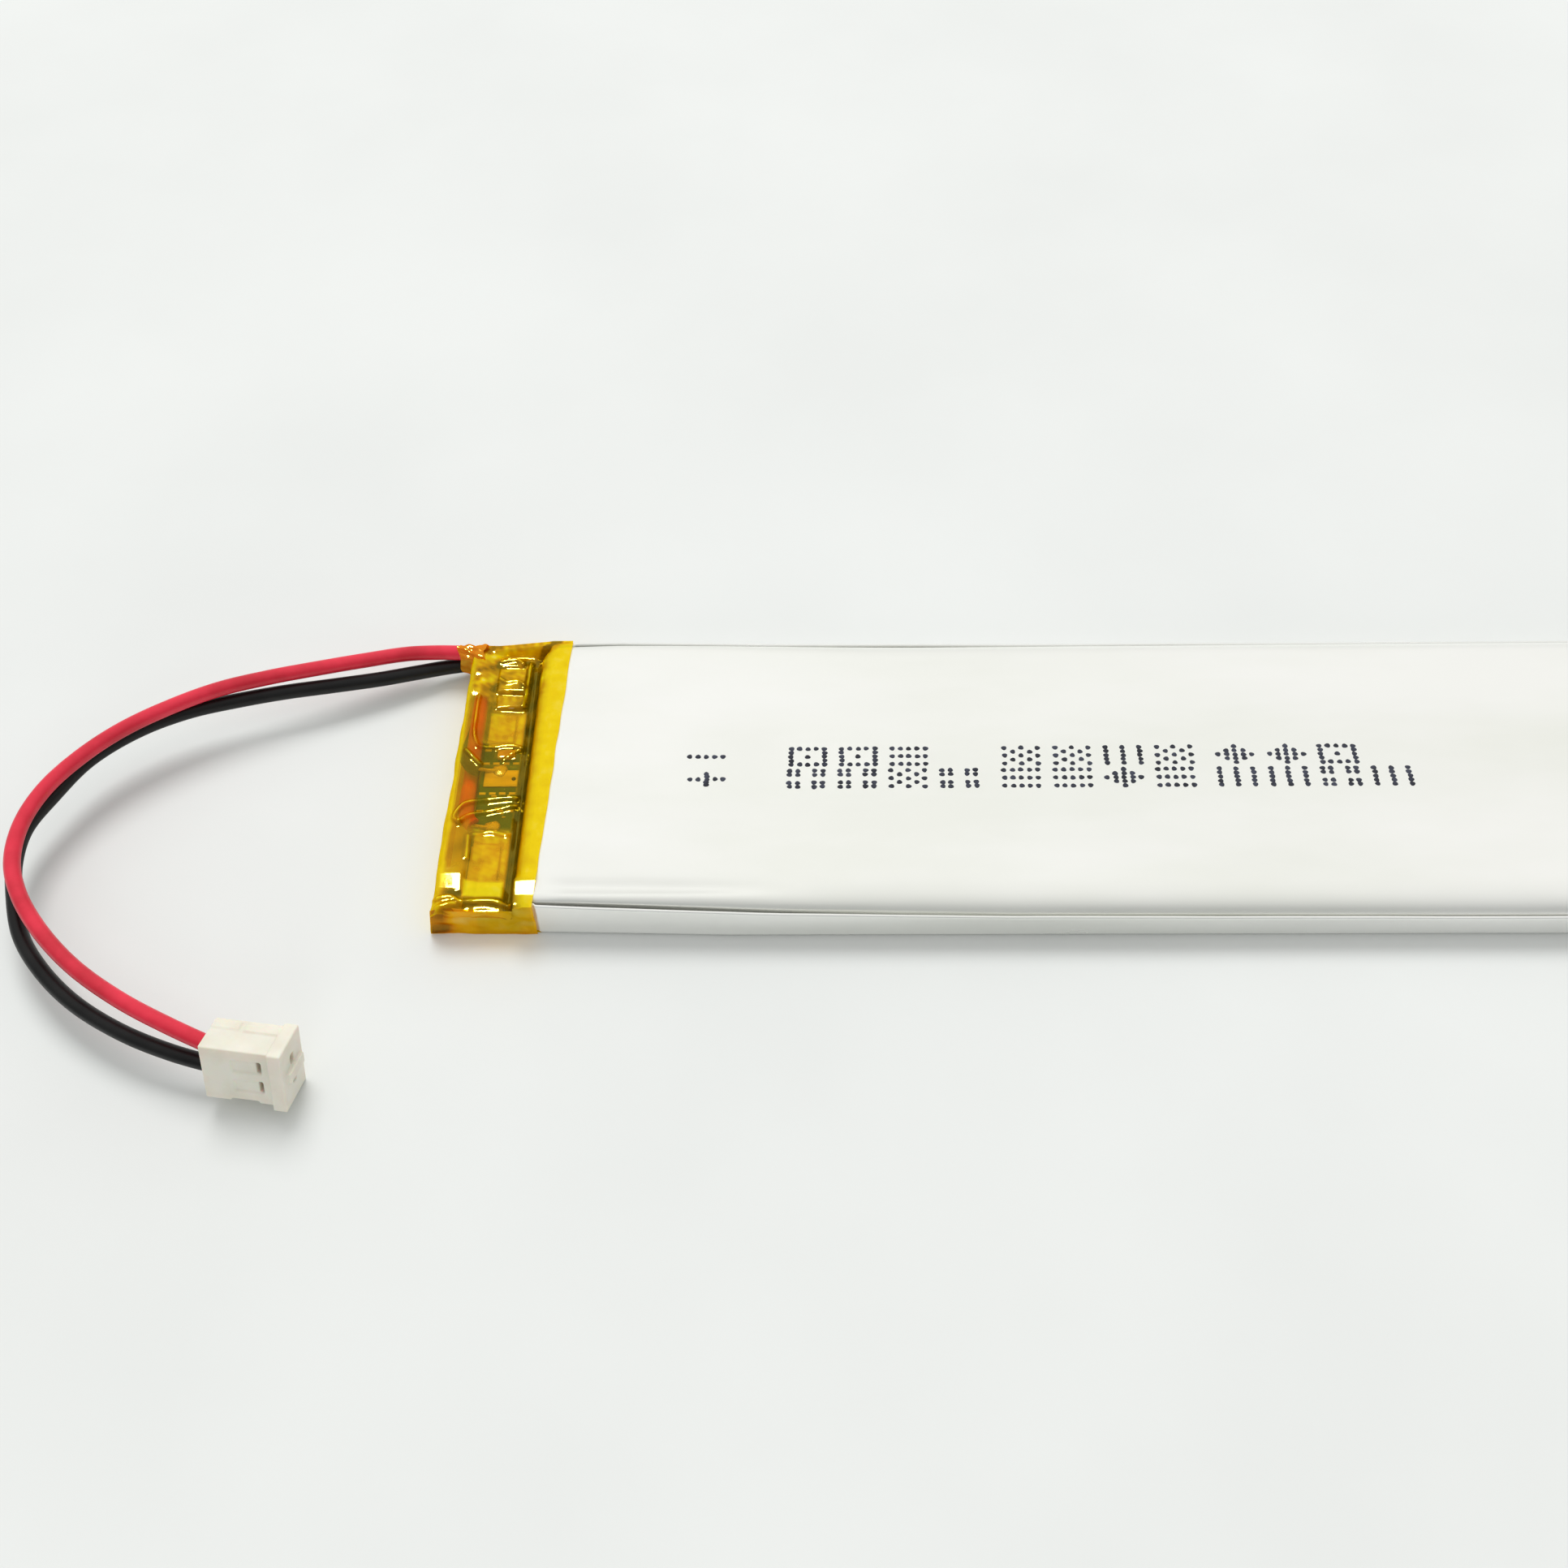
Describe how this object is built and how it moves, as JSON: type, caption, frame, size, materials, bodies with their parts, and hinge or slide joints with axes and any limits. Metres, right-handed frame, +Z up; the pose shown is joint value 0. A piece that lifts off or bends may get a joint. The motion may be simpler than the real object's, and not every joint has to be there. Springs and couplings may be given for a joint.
{
  "type": "lithium polymer pouch cell",
  "caption": "Slim flat lithium-polymer pouch cell with a protection board under an amber tape cap and two leads ending in a small white crimp plug.",
  "frame": {"origin": "centre of the cell's underside, leads and plug left out", "axes": "+X along the cell from the head (board and leads) to the tail, +Z up out of the drawn cup, flat cover down"},
  "size_m": [0.1977, 0.0468, 0.0069],
  "materials": {
    "foil": "satin laminated foil",
    "cathode": "coated foil",
    "anode": "coated foil",
    "separator": "thin porous film",
    "roll_tape": "adhesive tape",
    "aluminium_tab": "bare strip",
    "nickel": "bare strip",
    "tab_film": "sealing film",
    "paper": "insulating paper",
    "foam": "foam tape",
    "board_green": "solder mask",
    "chip_black": "moulded package",
    "ceramic": "ceramic",
    "resistor": "chip resistor",
    "solder": "bright solder",
    "tape_amber": "see-through polyimide tape",
    "red_insulation": "smooth insulation",
    "black_insulation": "smooth insulation",
    "strands": "tinned strands",
    "housing_white": "moulded nylon",
    "terminal": "tinned contact"
  },
  "bodies": {
    "root": {"pouch_cup": "foil", "pouch_cover": "foil", "cathode_strip": "cathode", "anode_strip": "anode", "separator_inner": "separator", "separator_outer": "separator", "roll_end_tape": "roll_tape", "positive_tab": "aluminium_tab", "negative_tab": "nickel", "tab_film_positive": "tab_film", "tab_film_negative": "tab_film", "insulation_paper": "paper", "board_pad": "foam", "circuit_board": "board_green", "nickel_strip_positive": "nickel", "nickel_strip_negative": "nickel", "output_pad": "nickel", "mosfet": "chip_black", "protection_ic": "chip_black", "capacitor_far": "ceramic", "resistor_middle": "resistor", "solder_joint_positive": "solder", "solder_joint_negative": "solder", "head_tape": "tape_amber", "end_tape": "tape_amber", "red_lead": "red_insulation", "black_lead": "black_insulation", "red_lead_inner": "red_insulation", "black_lead_inner": "black_insulation", "red_lead_strands": "strands", "black_lead_strands": "strands", "connector_housing": "housing_white", "terminal_positive": "terminal", "terminal_negative": "terminal"}
  },
  "joints": []
}
